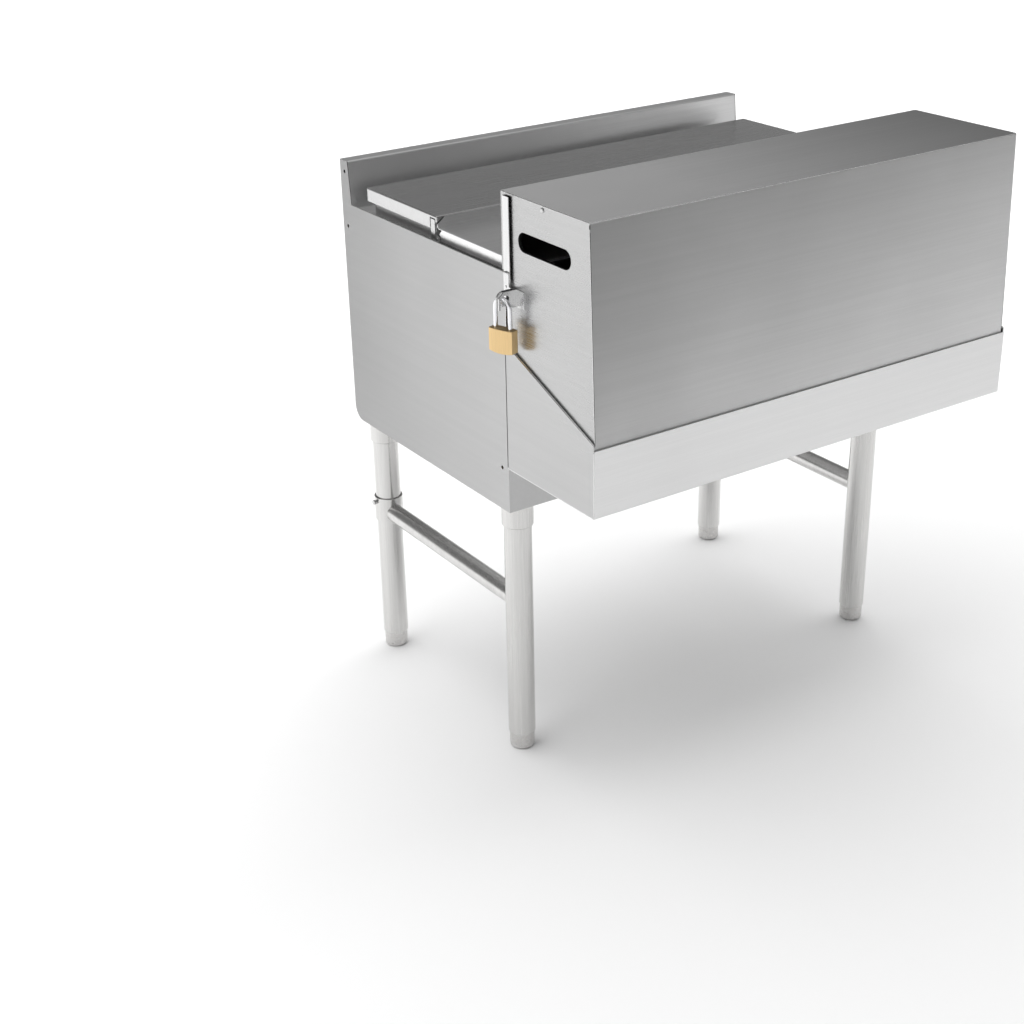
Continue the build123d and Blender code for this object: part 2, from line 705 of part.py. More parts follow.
with BuildPart() as padlock_body:
    with BuildSketch(LOCK_PLANE.offset(-BODY_T / 2)):
        with BuildLine():
            Polyline(
                (-BODY_W / 2, BODY_LOW),
                (-BODY_W / 2, BODY_TOP),
                (BODY_W / 2, BODY_TOP),
                (BODY_W / 2, BODY_LOW),
            )
            ThreePointArc(
                (BODY_W / 2, BODY_LOW), (0, BODY_LOW - 2.0), (-BODY_W / 2, BODY_LOW)
            )
        make_face()
    extrude(amount=BODY_T)
    # the faces bulge, so a lens-shaped section trims the block seen from above
    with BuildSketch(Plane(LOCK_PLANE.origin, x_dir=LOCK_PLANE.x_dir, z_dir=(0, 0, -1))):
        with BuildLine():
            Line((-BODY_W / 2, -BODY_T / 2 + 1.6), (-BODY_W / 2, BODY_T / 2 - 1.6))
            ThreePointArc(
                (-BODY_W / 2, BODY_T / 2 - 1.6), (0, BODY_T / 2), (BODY_W / 2, BODY_T / 2 - 1.6)
            )
            Line((BODY_W / 2, BODY_T / 2 - 1.6), (BODY_W / 2, -BODY_T / 2 + 1.6))
            ThreePointArc(
                (BODY_W / 2, -BODY_T / 2 + 1.6), (0, -BODY_T / 2), (-BODY_W / 2, -BODY_T / 2 + 1.6)
            )
        make_face()
    extrude(amount=100, mode=Mode.INTERSECT)
    fillet(padlock_body.edges(), 1.0)
    LOCK_DOWN = Plane(LOCK_PLANE.origin, x_dir=LOCK_PLANE.x_dir, z_dir=(0, 0, -1))
    with BuildSketch(LOCK_DOWN.offset(-BODY_TOP)):
        with Locations((CROWN_R, 0)):
            Circle(WIRE_R + 0.1)
    extrude(amount=HEEL + 2.0, mode=Mode.SUBTRACT)
    with BuildSketch(LOCK_DOWN.offset(-BODY_TOP)):
        with Locations((-CROWN_R, 0)):
            Circle(WIRE_R + 0.1)
    extrude(amount=HEEL + 2.0, mode=Mode.SUBTRACT)
    with BuildSketch(LOCK_DOWN.offset(-BODY_LOW - PLUG_L)):
        Circle(PLUG_R + 0.05)
    extrude(amount=PLUG_L + 4.0, mode=Mode.SUBTRACT)
save(padlock_body, "padlock_body")

with BuildPart() as lock_plug:
    with BuildSketch(LOCK_DOWN.offset(-BODY_LOW - PLUG_L + 0.3)):
        Circle(PLUG_R)
    extrude(amount=PLUG_L + 0.7)
    chamfer(lock_plug.edges().group_by(Axis.Z)[0], 0.5)
    with BuildSketch(LOCK_DOWN.offset(-BODY_LOW - PLUG_L + 6)):
        Rectangle(8.0, 1.6)
    extrude(amount=PLUG_L, mode=Mode.SUBTRACT)
save(lock_plug, "lock_plug")

# fixed keeper: a leaf on the guide channel with a closed eye for the shackle
KEEPER_TOP = 757.0
KEEPER_LOW = 735.0
KEEPER_FLAT_TOP = 776.0
EYE_R = 5.8
EYE_GAP = 0.6        # under the shackle's wire
with BuildPart() as lock_keeper_left:
    with BuildSketch(across(-GUIDE_OUT - SHEET)):
        with BuildLine():
            Polyline(
                (LOCK_Y - TAB / 2, KEEPER_LOW),
                (FRONT_Y - 2.0, KEEPER_LOW),
                (FRONT_Y - 2.0, KEEPER_FLAT_TOP),
                (FRONT_Y - 14.0, KEEPER_FLAT_TOP),
                (FRONT_Y - 14.0, KEEPER_TOP + 1.0),
                (LOCK_Y - TAB / 2, KEEPER_TOP),
                close=True,
            )
        make_face()
    extrude(amount=SHEET)
    with BuildSketch(Plane.XZ.offset(-LOCK_Y - TAB / 2)):
        with Locations((-GUIDE_OUT, KEEPER_LOW)):
            Rectangle(TAB_REACH - GUIDE_OUT - 8, KEEPER_TOP - KEEPER_LOW, align=(Align.MAX, Align.MIN))
        with Locations((-TAB_REACH + 11.0, KEEPER_TOP - 11.0)):
            Circle(11.0)
        with Locations((-TAB_REACH + 11.0, KEEPER_LOW)):
            Rectangle(22.0, KEEPER_TOP - KEEPER_LOW - 11.0, align=(Align.CENTER, Align.MIN))
        with Locations((LOCK_X, LOCK_TOP + EYE_R - WIRE_R - EYE_GAP)):
            Circle(EYE_R, mode=Mode.SUBTRACT)
    extrude(amount=TAB)
save(lock_keeper_left, "lock_keeper_left")
save(mirrored(lock_keeper_left), "lock_keeper_right")

# tab on the cover: straddles the shackle's wire and lifts away from it
NOTCH_HALF = 7.2
NOTCH_TOP = 752.0
EYE_LOW = 733.0
EYE_TOP = 757.0
with BuildPart() as lock_eye_left:
    with BuildSketch(across(-COVER_X)):
        with Locations((EYE_Y + TAB / 2, EYE_LOW)):
            Rectangle(20.0, EYE_TOP - EYE_LOW, align=(Align.MAX, Align.MIN))
    extrude(amount=-SHEET)
    with BuildSketch(Plane.XZ.offset(-EYE_Y - TAB / 2)):
        with BuildLine():
            Polyline(
                (-COVER_X, EYE_LOW),
                (-COVER_X, EYE_TOP),
                (-TAB_REACH + 8.0, EYE_TOP),
                (-TAB_REACH, EYE_TOP - 8.0),
                (-TAB_REACH, EYE_LOW),
                close=True,
            )
        make_face()
        with Locations((LOCK_X, NOTCH_TOP - NOTCH_HALF)):
            Circle(NOTCH_HALF, mode=Mode.SUBTRACT)
        with Locations((LOCK_X, NOTCH_TOP - NOTCH_HALF)):
            Rectangle(
                2 * NOTCH_HALF, 80, align=(Align.CENTER, Align.MAX), mode=Mode.SUBTRACT
            )
    extrude(amount=TAB)
save(lock_eye_left, "lock_eye_left")
save(mirrored(lock_eye_left), "lock_eye_right")

# ---------------------------------------------------------------- lids
with BuildPart() as rear_lid:
    with BuildSketch(Plane.XY.offset(REAR_LID_LOW)):
        with Locations((0, REAR_LID_BACK)):
            Rectangle(
                2 * LID_X, REAR_LID_BACK - REAR_LID_FRONT, align=(Align.CENTER, Align.MAX)
            )
    extrude(amount=REAR_LID_TOP - REAR_LID_LOW)
    fillet(rear_lid.edges().filter_by(Axis.Z), BEND)
    fillet(rear_lid.edges().group_by(Axis.Z)[-1], BEND - 0.1)
    offset(amount=-SHEET, openings=rear_lid.faces().sort_by(Axis.Z)[0])
    # the front skirt is only a short lip, and the side skirts start behind the bar
    with BuildSketch(Plane.XY.offset(REAR_LID_LOW)):
        with Locations((0, REAR_SKIRT_FRONT + 0.5)):
            Rectangle(2 * LID_X + 2, 40, align=(Align.CENTER, Align.MAX))
    extrude(amount=FRONT_LIP_LOW - REAR_LID_LOW, mode=Mode.SUBTRACT)
    with BuildSketch(Plane.XY.offset(REAR_LID_LOW)):
        with Locations((-LID_X, REAR_SKIRT_FRONT + 0.5), (LID_X, REAR_SKIRT_FRONT + 0.5)):
            Rectangle(8, 15, align=(Align.CENTER, Align.MAX))
    extrude(amount=16.0, mode=Mode.SUBTRACT)
save(rear_lid, "rear_lid")

with BuildPart() as rear_lid_pan:
    with BuildSketch(Plane.XY.offset(PAN_LOW)):
        with Locations((0, REAR_LID_BACK - 3)):
            Rectangle(
                2 * LID_X - 8,
                REAR_LID_BACK - REAR_SKIRT_FRONT - 6,
                align=(Align.CENTER, Align.MAX),
            )
    extrude(amount=REAR_LID_TOP - SHEET - PAN_LOW)
    fillet(rear_lid_pan.edges().filter_by(Axis.Z), BEND)
    offset(amount=-SHEET, openings=rear_lid_pan.faces().sort_by(Axis.Z)[-1])
save(rear_lid_pan, "rear_lid_pan")

with BuildPart() as rear_lid_foam:
    with BuildSketch(Plane.XY.offset(PAN_LOW + SHEET)):
        with Locations((0, REAR_LID_BACK - 3 - SHEET - 0.1)):
            Rectangle(
                2 * LID_X - 8 - 2 * SHEET - 0.2,
                REAR_LID_BACK - REAR_SKIRT_FRONT - 6 - 2 * SHEET - 0.2,
                align=(Align.CENTER, Align.MAX),
            )
    extrude(amount=REAR_LID_TOP - 2 * SHEET - PAN_LOW)
    fillet(rear_lid_foam.edges().filter_by(Axis.Z), BEND)
save(rear_lid_foam, "rear_lid_foam")

NOTCH_R = 7.5
with BuildPart() as front_lid:
    with BuildSketch(Plane.XY.offset(FRONT_LID_LOW)):
        with Locations((0, FRONT_LID_FRONT)):
            Rectangle(
                2 * FRONT_LID_X,
                FRONT_LID_BACK - FRONT_LID_FRONT + 20,
                align=(Align.CENTER, Align.MIN),
            )
    extrude(amount=FRONT_LID_TOP - FRONT_LID_LOW)
    fillet(front_lid.edges().group_by(Axis.Z)[-1].group_by(Axis.Y)[0], BEND)
    fillet(front_lid.edges().group_by(Axis.Z)[-1].filter_by(Axis.Y), BEND)
    offset(
        amount=-SHEET,
        openings=[front_lid.faces().sort_by(Axis.Z)[0], front_lid.faces().sort_by(Axis.Y)[-1]],
    )
    with BuildSketch(Plane.XY.offset(FRONT_LID_LOW - 1)):
        with Locations((0, FRONT_LID_BACK - SHEET)):
            Rectangle(2 * LID_X + 10, 60, align=(Align.CENTER, Align.MIN))
    extrude(amount=60, mode=Mode.SUBTRACT)
    # relief of the side skirts in front of the bar's brackets
    with BuildSketch(across(-LID_X - 5)):
        with BuildLine():
            Polyline(
                (FRONT_Y + 176.0, FRONT_LID_TOP - BEND),
                (FRONT_Y + 184.0, STUD_Z + NOTCH_R - 1),
                (STUD_Y, STUD_Z),
                (FRONT_Y + 200.0, STUD_Z),
                (FRONT_Y + 200.0, FRONT_LID_TOP - BEND),
                close=True,
            )
        make_face()
        with Locations((STUD_Y, STUD_Z)):
            Circle(NOTCH_R)
            Rectangle(2 * NOTCH_R, 20, align=(Align.CENTER, Align.MAX))
    extrude(amount=2 * LID_X + 10, mode=Mode.SUBTRACT)
    # upstand along the back edge, corners cut back
    with BuildSketch(Plane.XZ.offset(-FRONT_LID_BACK)):
        with BuildLine():
            Polyline(
                (-FRONT_LID_X, FRONT_LID_TOP - SHEET),
                (-FRONT_LID_X, FRONT_LID_TOP + 4),
                (-FRONT_LID_X + 14, UPSTAND_Z),
                (FRONT_LID_X - 14, UPSTAND_Z),
                (FRONT_LID_X, FRONT_LID_TOP + 4),
                (FRONT_LID_X, FRONT_LID_TOP - SHEET),
                close=True,
            )
        make_face()
    extrude(amount=SHEET)
save(front_lid, "front_lid")

with BuildPart() as front_lid_ribs:
    with BuildSketch(across()):
        for y in (FRONT_LID_FRONT + 6, FRONT_LID_FRONT + 124):
            with Locations((y, PAN_LOW)):
                Rectangle(22, FRONT_LID_TOP - SHEET - PAN_LOW, align=(Align.MIN, Align.MIN))
            with Locations((y + SHEET, PAN_LOW + SHEET)):
                Rectangle(
                    22 - 2 * SHEET,
                    FRONT_LID_TOP - PAN_LOW,
                    align=(Align.MIN, Align.MIN),
                    mode=Mode.SUBTRACT,
                )
    extrude(amount=FRONT_LID_X - 3, both=True)
save(front_lid_ribs, "front_lid_ribs")

with BuildPart() as centre_bar:
    with BuildSketch(across()):
        with Locations((BAR_FRONT, LINER_TOP)):
            Rectangle(
                BAR_BACK - BAR_FRONT, BAR_TOP - LINER_TOP, align=(Align.MIN, Align.MIN)
            )
        with Locations((BAR_FRONT + SHEET, LINER_TOP)):
            Rectangle(
                BAR_BACK - BAR_FRONT - 2 * SHEET,
                BAR_TOP - LINER_TOP - SHEET,
                align=(Align.MIN, Align.MIN),
                mode=Mode.SUBTRACT,
            )
    extrude(amount=LINER_X + 3.8, both=True)
save(centre_bar, "centre_bar")

with BuildPart() as bar_bracket_left:
    with BuildSketch(across(-LID_X)):
        with BuildLine():
            Polyline(
                (FRONT_Y + 194.4, 800.0),
                (FRONT_Y + 205.5, 800.0),
                (FRONT_Y + 205.5, DECK_Z),
                (STUD_Y, DECK_Z),
                (STUD_Y, STUD_Z + 4.5),
                (FRONT_Y + 194.4, STUD_Z + 4.5),
                close=True,
            )
        make_face()
        with Locations((STUD_Y, DECK_Z + 5.55)):
            Circle(5.5)
    extrude(amount=SHEET)
    # plate behind the front lid's skirt, tied to the bar
    with BuildSketch(across(-LID_X + SHEET)):
        with BuildLine():
            Polyline(
                (FRONT_Y + 205.5, 800.0),
                (FRONT_Y + 205.5, LINER_TOP + 0.3),
                (FRONT_Y + 194.4, LINER_TOP + 0.3),
                (FRONT_Y + 194.4, 800.0),
                close=True,
            )
        make_face()
    extrude(amount=0.95)
save(bar_bracket_left, "bar_bracket_left")
save(mirrored(bar_bracket_left), "bar_bracket_right")

with BuildPart() as bracket_studs:
    with BuildSketch(across(-LID_X)):
        with Locations((STUD_Y, DECK_Z + 5.55)):
            Circle(STUD_R)
    extrude(amount=-2.6)
    fillet(bracket_studs.edges().group_by(Axis.X)[0], 0.8)
    mirror(about=Plane.YZ)
save(bracket_studs, "bracket_studs")
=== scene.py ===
import json
import math

import bmesh
import bpy
from mathutils import Matrix, Vector


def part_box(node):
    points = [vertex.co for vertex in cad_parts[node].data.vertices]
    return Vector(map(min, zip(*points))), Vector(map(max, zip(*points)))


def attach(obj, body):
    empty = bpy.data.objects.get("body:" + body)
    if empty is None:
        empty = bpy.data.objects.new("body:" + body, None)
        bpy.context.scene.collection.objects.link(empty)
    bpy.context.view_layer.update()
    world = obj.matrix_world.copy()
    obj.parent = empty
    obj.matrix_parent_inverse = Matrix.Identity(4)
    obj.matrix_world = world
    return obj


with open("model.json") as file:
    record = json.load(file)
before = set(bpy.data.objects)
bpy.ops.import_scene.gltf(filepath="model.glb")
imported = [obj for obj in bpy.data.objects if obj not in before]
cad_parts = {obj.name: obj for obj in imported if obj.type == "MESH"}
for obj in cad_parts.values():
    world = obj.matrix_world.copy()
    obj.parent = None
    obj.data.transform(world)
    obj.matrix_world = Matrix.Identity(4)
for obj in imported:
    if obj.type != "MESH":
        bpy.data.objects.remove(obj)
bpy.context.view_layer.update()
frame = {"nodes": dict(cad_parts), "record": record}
nodes = frame["nodes"]


# ---------------------------------------------------------------- materials
NOISE_LOW, NOISE_HIGH = 0.3, 0.7  # most values of a noise lie between these


def new_material(name, colour, metallic, rough):
    m = bpy.data.materials.new(name)
    m.use_nodes = True
    tree = m.node_tree
    shader = tree.nodes["Principled BSDF"]
    shader.inputs["Base Color"].default_value = (*colour, 1)
    shader.inputs["Metallic"].default_value = metallic
    shader.inputs["Roughness"].default_value = rough
    return m, tree, shader


def noise(tree, scales, detail=2.0, rough=0.5, turn=(0, 0, 0)):
    """Noise over the object's own coordinates, stretched by the three scales (per metre)."""
    coord = tree.nodes.new("ShaderNodeTexCoord")
    mapping = tree.nodes.new("ShaderNodeMapping")
    mapping.inputs["Scale"].default_value = scales
    mapping.inputs["Rotation"].default_value = turn
    tree.links.new(coord.outputs["Object"], mapping.inputs["Vector"])
    tex = tree.nodes.new("ShaderNodeTexNoise")
    tex.inputs["Scale"].default_value = 1.0
    tex.inputs["Detail"].default_value = detail
    tex.inputs["Roughness"].default_value = rough
    tree.links.new(mapping.outputs["Vector"], tex.inputs["Vector"])
    return tex.outputs["Fac"]


def spread(tree, fac, low, high):
    """Map a noise onto low..high."""
    node = tree.nodes.new("ShaderNodeMapRange")
    node.inputs["From Min"].default_value = NOISE_LOW
    node.inputs["From Max"].default_value = NOISE_HIGH
    node.inputs["To Min"].default_value = low
    node.inputs["To Max"].default_value = high
    tree.links.new(fac, node.inputs["Value"])
    return node.outputs["Result"]


def ramp(tree, fac, dark, light):
    """Colour between two tones."""
    node = tree.nodes.new("ShaderNodeValToRGB")
    node.color_ramp.elements[0].position = NOISE_LOW
    node.color_ramp.elements[0].color = (*dark, 1)
    node.color_ramp.elements[1].position = NOISE_HIGH
    node.color_ramp.elements[1].color = (*light, 1)
    tree.links.new(fac, node.inputs["Fac"])
    return node.outputs["Color"]


def bump(tree, shader, height, strength, distance):
    node = tree.nodes.new("ShaderNodeBump")
    node.inputs["Strength"].default_value = strength
    node.inputs["Distance"].default_value = distance
    tree.links.new(height, node.inputs["Height"])
    tree.links.new(node.outputs["Normal"], shader.inputs["Normal"])


def calc(tree, operation, a, b):
    """Math node whose inputs are sockets or numbers."""
    node = tree.nodes.new("ShaderNodeMath")
    node.operation = operation
    for socket, value in zip(node.inputs, (a, b)):
        if isinstance(value, bpy.types.NodeSocket):
            tree.links.new(value, socket)
        else:
            socket.default_value = value
    return node.outputs[0]


def painted_light_drift(tree, upright, level):
    """Painted light and shade: slow drift of tone over a sheet by position, standing in for how the light
    falls, as terms for its upright and for its level faces.
    """
    coord = tree.nodes.new("ShaderNodeTexCoord")
    place = tree.nodes.new("ShaderNodeSeparateXYZ")
    facing = tree.nodes.new("ShaderNodeSeparateXYZ")
    tree.links.new(coord.outputs["Object"], place.inputs[0])
    tree.links.new(coord.outputs["Normal"], facing.inputs[0])

    def drift(terms):
        value = terms[0]
        for axis, slope in zip("XYZ", terms[1:]):
            if slope:
                value = calc(tree, "ADD", calc(tree, "MULTIPLY", place.outputs[axis], slope), value)
        return value

    lift = calc(tree, "MAXIMUM", facing.outputs["Z"], 0.0)
    step = calc(tree, "SUBTRACT", drift(level), drift(upright))
    return calc(tree, "ADD", calc(tree, "MULTIPLY", lift, step), drift(upright))


def brushed(name, tone, rough, grain, streak=0.03, depth=0.00001, spin=0.0, painted_light_terms=None):
    """Brushed stainless sheet: grain stretched along one axis, faint streaks, cloudy handling marks, and
    optionally painted light and shade as a drift of tone.
    """
    m, tree, shader = new_material(name, tone, 1.0, rough)
    if spin:  # gloss spreads across the grain
        tangent = tree.nodes.new("ShaderNodeTangent")
        tangent.direction_type = "RADIAL"
        tangent.axis = "XYZ"[grain.index(min(grain))]
        tree.links.new(tangent.outputs["Tangent"], shader.inputs["Tangent"])
        shader.inputs["Anisotropic"].default_value = spin
    fine = noise(tree, grain, detail=3.0, rough=0.6)
    broad = noise(tree, [g / 9 for g in grain], detail=2.0)
    cloud = noise(tree, (5, 5, 5), detail=3.0)
    mixed = calc(tree, "ADD", spread(tree, fine, -0.5, 0.5), spread(tree, broad, 0.15, 0.85))
    dark = [c * (1 - streak) for c in tone]
    light = [min(1.0, c * (1 + streak)) for c in tone]
    colour = ramp(tree, mixed, dark, light)
    # painted light and shade: the tone is scaled by position and by facing to follow how the light falls
    if painted_light_terms:
        scaled = tree.nodes.new("ShaderNodeVectorMath")
        scaled.operation = "SCALE"
        tree.links.new(colour, scaled.inputs[0])
        tree.links.new(painted_light_drift(tree, *painted_light_terms), scaled.inputs["Scale"])
        colour = scaled.outputs[0]
    tree.links.new(colour, shader.inputs["Base Color"])
    marks = spread(tree, cloud, -0.035, 0.035)
    worn = calc(tree, "ADD", marks, spread(tree, fine, rough - 0.04, rough + 0.04))
    tree.links.new(worn, shader.inputs["Roughness"])
    bump(tree, shader, fine, 0.35, depth)
    return m


def worn_metal(name, tone, rough, scale=60, streak=0.05, depth=0.00005):
    """Plain metal with fine handling wear."""
    m, tree, shader = new_material(name, tone, 1.0, rough)
    marks = noise(tree, (scale, scale, scale * 1.6), detail=4.0)
    fine = noise(tree, (scale * 12,) * 3, detail=2.0)
    dark = [c * (1 - streak) for c in tone]
    light = [min(1.0, c * (1 + streak)) for c in tone]
    tree.links.new(ramp(tree, marks, dark, light), shader.inputs["Base Color"])
    wear = spread(tree, marks, -0.04, 0.05)
    worn = calc(tree, "ADD", wear, spread(tree, fine, rough - 0.03, rough + 0.03))
    tree.links.new(worn, shader.inputs["Roughness"])
    bump(tree, shader, fine, 0.25, depth)
    return m


def dull(name, tone, rough, scale, depth):
    """Matt material such as foam or rubber."""
    m, tree, shader = new_material(name, tone, 0.0, rough)
    grain = noise(tree, (scale,) * 3, detail=4.0)
    dark = [c * 0.85 for c in tone]
    light = [min(1, c * 1.1) for c in tone]
    tree.links.new(ramp(tree, grain, dark, light), shader.inputs["Base Color"])
    tree.links.new(spread(tree, grain, rough - 0.06, rough + 0.06), shader.inputs["Roughness"])
    bump(tree, shader, grain, 0.5, depth)
    return m


# noise scales per metre, small along the grain
ALONG_X = (12, 1500, 1500)
ALONG_Y = (1500, 12, 1500)
ALONG_Z = (1200, 1200, 10)
SHORT_Z = (1400, 1400, 40)

# painted light and shade: tone drifts that stand in for how the light falls across a sheet, each as (start,
# per metre of X, Y, Z) on upright faces, then on level faces
COVER_PAINTED_LIGHT = ((2.02, 0.48, 0, -1.45), (1.34, -1.30, 0, 0))
PANEL_PAINTED_LIGHT = ((0.86, 0, -0.62, 0), (1.0, 0, 0, 0))
SPLASH_PAINTED_LIGHT = ((1.12, -0.45, 0, 0), (1.0, 0, 0, 0))

# painted light and shade: the brushed sheet slots (panel, rail, end, cover, top) are one steel set lighter
# or darker per sheet to follow how the light falls on each; the other slots keep their own colours
finish_and_painted_light = {
    "brushed_panel": brushed("brushed_panel", (0.53, 0.53, 0.53), 0.36, ALONG_Y, 0.015, painted_light_terms=PANEL_PAINTED_LIGHT),
    "brushed_rail": brushed("brushed_rail", (0.73, 0.73, 0.73), 0.34, ALONG_X, 0.015),
    "brushed_end": brushed("brushed_end", (0.49, 0.49, 0.49), 0.27, ALONG_Y, 0.015),
    "brushed_cover": brushed("brushed_cover", (0.64, 0.64, 0.64), 0.48, ALONG_X, 0.02,
                             spin=0.8, painted_light_terms=COVER_PAINTED_LIGHT),
    "brushed_top": brushed("brushed_top", (0.62, 0.62, 0.62), 0.27, ALONG_X),
    "liner_steel": brushed("liner_steel", (0.60, 0.60, 0.60), 0.38, ALONG_X, depth=0.00003),
    "polished_tube": brushed("polished_tube", (0.66, 0.655, 0.645), 0.24, ALONG_Z, streak=0.05),
    "foot_steel": worn_metal("foot_steel", (0.62, 0.61, 0.60), 0.28, 90),
    "fasteners": worn_metal("fasteners", (0.60, 0.60, 0.60), 0.25, 200),
    "bright_steel": brushed("bright_steel", (0.72, 0.72, 0.72), 0.20, ALONG_Z),
    "chrome_wire": worn_metal("chrome_wire", (0.86, 0.86, 0.88), 0.07, 120, 0.02, 0.00001),
    "brass_case": brushed("brass_case", (0.72, 0.52, 0.27), 0.32, SHORT_Z, 0.04),
    "brass_plug": worn_metal("brass_plug", (0.76, 0.56, 0.28), 0.28, 200),
    "drain_brass": worn_metal("drain_brass", (0.70, 0.54, 0.30), 0.32, 80),
    "foam": dull("foam", (0.85, 0.80, 0.62), 0.85, 300, 0.0004),
    "rubber": dull("rubber", (0.04, 0.04, 0.04), 0.6, 400, 0.0001),
}

# single sheets painted brighter or darker than their slot: lit and shaded copies of one steel, painted
# light and shade for how the light falls on each
painted_light_sheets = {
    "backsplash": brushed("brushed_splash_painted_light", (0.92, 0.92, 0.92), 0.36, ALONG_X, painted_light_terms=SPLASH_PAINTED_LIGHT),
    "front_lid": brushed("brushed_front_lid_painted_light", (0.96, 0.96, 0.96), 0.32, ALONG_X),
    "deck_frame": brushed("brushed_deck_painted_light", (0.92, 0.92, 0.92), 0.42, ALONG_X),
    "rail_end_left": brushed("brushed_rail_end_left_painted_shade", (0.50, 0.50, 0.50), 0.32, ALONG_Y, 0.015),
    "rail_end_right": brushed("brushed_rail_end_right_painted_shade", (0.50, 0.50, 0.50), 0.32, ALONG_Y, 0.015),
}
node_slot = {part["node"]: part["material_slot"] for part in frame["record"]["subparts"]}


def paint(obj, material):
    obj.data.materials.clear()
    obj.data.materials.append(material)


for name, obj in nodes.items():
    paint(obj, painted_light_sheets.get(name) or finish_and_painted_light[node_slot[name]])


# ---------------------------------------------------------------- seams, welds, small fittings and dark strips of painted shade
def link(name, bm, body, slot_name):
    """Turn a bmesh into a piece that rides on a body and takes a slot's material."""
    mesh = bpy.data.meshes.new(name)
    bm.to_mesh(mesh)
    bm.free()
    for face in mesh.polygons:
        face.use_smooth = True
    piece = bpy.data.objects.new(name, mesh)
    bpy.context.scene.collection.objects.link(piece)
    piece.data.materials.append(finish_and_painted_light[slot_name])
    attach(piece, body)
    return piece


def tube(name, body, slot_name, path, radii, sides=10):
    """Closed round bar through the path's points, with a radius at each point."""
    bm = bmesh.new()
    rings = []
    for i, (point, radius) in enumerate(zip(path, radii)):
        along = (path[min(i + 1, len(path) - 1)] - path[max(i - 1, 0)]).normalized()
        side = along.orthogonal().normalized()
        other = along.cross(side)
        rings.append([
            bm.verts.new(point + radius * (side * math.cos(t) + other * math.sin(t)))
            for t in (2 * math.pi * k / sides for k in range(sides))
        ])
    for low, high in zip(rings, rings[1:]):
        for k in range(sides):
            bm.faces.new((low[k], low[(k + 1) % sides], high[(k + 1) % sides], high[k]))
    bm.faces.new(rings[0][::-1])
    bm.faces.new(rings[-1])
    bmesh.ops.recalc_face_normals(bm, faces=bm.faces)
    return link(name, bm, body, slot_name)


def seam(name, body, slot_name, start, end, radius):
    """Straight ground seam, joint line and dark strip of painted shade alike, thinner towards both ends."""
    start, end = Vector(start), Vector(end)
    step = (end - start).normalized() * radius * 2
    path = [start, start + step, (start + end) / 2, end - step, end]
    return tube(name, body, slot_name, path, [radius * f for f in (0.3, 1, 1, 1, 0.3)])


def weld(name, body, centre, axis, radius, bead, saddle=0.0):
    """Rippled weld bead round a tube, bent along the axis by saddle where the tube meets a round face."""
    axis = Vector(axis).normalized()
    side = axis.orthogonal().normalized()
    other = axis.cross(side)
    bm = bmesh.new()
    turns, sides, ripple = 72, 8, 2.4
    rings = []
    for i in range(turns):
        t = 2 * math.pi * i / turns
        out = side * math.cos(t) + other * math.sin(t)
        size = bead * (1 + 0.12 * math.sin(i * ripple))
        bow = saddle * (1 - out.z ** 2) if saddle else 0
        spot = Vector(centre) + out * radius + axis * bow
        rings.append([
            bm.verts.new(spot + size * (out * math.cos(a) + axis * math.sin(a)))
            for a in (2 * math.pi * k / sides for k in range(sides))
        ])
    for i in range(turns):
        low, high = rings[i], rings[(i + 1) % turns]
        for k in range(sides):
            bm.faces.new((low[k], low[(k + 1) % sides], high[(k + 1) % sides], high[k]))
    bmesh.ops.recalc_face_normals(bm, faces=bm.faces)
    return link(name, bm, body, "bright_steel")


def dome(name, body, slot_name, centre, axis, radius, height):
    """Low rivet head."""
    axis = Vector(axis).normalized()
    side = axis.orthogonal().normalized()
    other = axis.cross(side)
    bm = bmesh.new()
    sides = 16
    rings = []
    for share in (1.0, 0.92, 0.7, 0.38):
        lifted = Vector(centre) + axis * height * math.sqrt(1 - share ** 2)
        rings.append([
            bm.verts.new(lifted + radius * share * (side * math.cos(t) + other * math.sin(t)))
            for t in (2 * math.pi * k / sides for k in range(sides))
        ])
    for low, high in zip(rings, rings[1:]):
        for k in range(sides):
            bm.faces.new((low[k], low[(k + 1) % sides], high[(k + 1) % sides], high[k]))
    bm.faces.new(rings[0][::-1])
    bm.faces.new(rings[-1])
    bmesh.ops.recalc_face_normals(bm, faces=bm.faces)
    return link(name, bm, body, slot_name)


SHEET = 0.0012
SEAM_R = 0.0007
HEM_R = 0.0011
GAP_SHADE_R = 0.0005        # dark strip of painted shade along the gap between the rail and the cabinet
SHADOW_R = 0.0003       # painted shadow line beside the cover's corner
RELIEF_R = 0.0009       # open bend relief, drawn as a black strip of painted shade
PIN_R = 0.0015
RIVET_R, RIVET_H = 0.0019, 0.0010
COVER_LEAN = 0.0107     # how much further forward the cover's foot stands than its top
KNEE_RISE = 0.102       # where the cover's front starts to lean back, above its foot
SLOPE_RISE = 0.1023     # front of the rail end's slope, above the end's foot
LIP_RISE = 0.097        # top of the lip, above the tray's foot
RIM_RISE = 0.3555       # rim of the side panel, above the panel's foot
SPLASH_DEPTH = 0.030    # where the rim ends, before the panel's back
SHORT = 0.0005          # how far a line along an edge stops before the edge's ends

